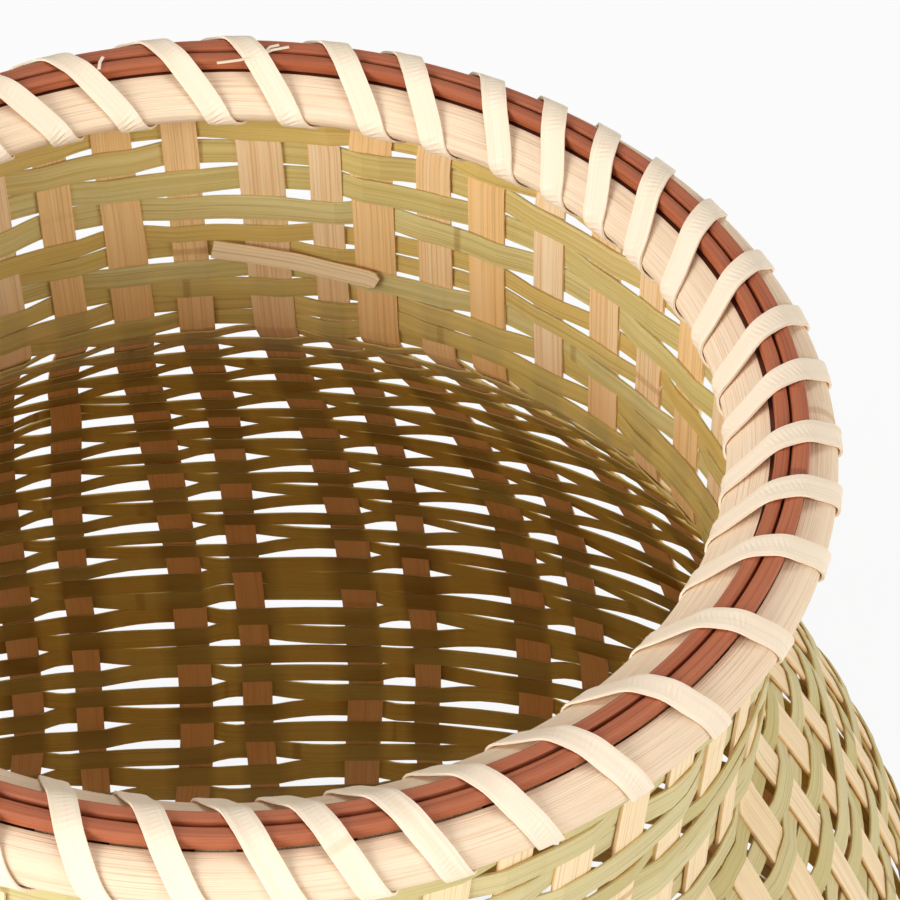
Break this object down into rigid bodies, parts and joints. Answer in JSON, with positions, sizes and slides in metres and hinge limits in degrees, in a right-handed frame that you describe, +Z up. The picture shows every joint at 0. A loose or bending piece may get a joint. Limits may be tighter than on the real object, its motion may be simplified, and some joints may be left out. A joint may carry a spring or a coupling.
{
  "type": "bamboo flower basket",
  "caption": "Woven bamboo flower basket with a round neck, a bulging rounded-square body and a hooped rim bound with a flat lashing.",
  "frame": {"origin": "on the floor under the middle of the base", "axes": "+Z up through the mouth, X and Y square to the flat sides of the body"},
  "size_m": [0.2858, 0.2858, 0.2815],
  "materials": {
    "stake": "split bamboo, pale tan, fine long grain, satin",
    "weaver": "thin bamboo weaver strips, olive green to straw, satin skin",
    "hoop": "half-round split bamboo hoop, pinkish cream, fine long grain, matt",
    "strand": "reddish brown stained bamboo strand, soft gloss",
    "lashing": "flat ivory bamboo strip, smooth satin"
  },
  "bodies": {
    "root": {"inner_hoop": "hoop", "outer_hoop": "hoop", "inner_strand": "strand", "outer_strand": "strand", "rim_lashing": "lashing", "neck_weave": "weaver", "lower_flank_weave": "weaver", "lower_flank_weave_2": "weaver", "lower_flank_weave_3": "weaver", "lower_shoulder_weave": "weaver", "lower_shoulder_weave_2": "weaver", "lower_shoulder_weave_3": "weaver", "shoulder_weave": "weaver", "shoulder_weave_2": "weaver", "shoulder_weave_3": "weaver", "flank_weave": "weaver", "flank_weave_2": "weaver", "flank_weave_3": "weaver", "belly_weave": "weaver", "heel_weave": "weaver", "rim_weave": "weaver", "splint_x_01": "stake", "splint_x_02": "stake", "splint_x_03": "stake", "splint_x_04": "stake", "splint_x_05": "stake", "splint_x_06": "stake", "splint_x_07": "stake", "splint_x_08": "stake", "splint_x_09": "stake", "splint_x_10": "stake", "splint_x_11": "stake", "splint_x_12": "stake", "splint_y_01": "stake", "splint_y_02": "stake", "splint_y_03": "stake", "splint_y_04": "stake", "splint_y_05": "stake", "splint_y_06": "stake", "splint_y_07": "stake", "splint_y_08": "stake", "splint_y_09": "stake", "splint_y_10": "stake", "splint_y_11": "stake", "splint_y_12": "stake"}
  },
  "joints": []
}
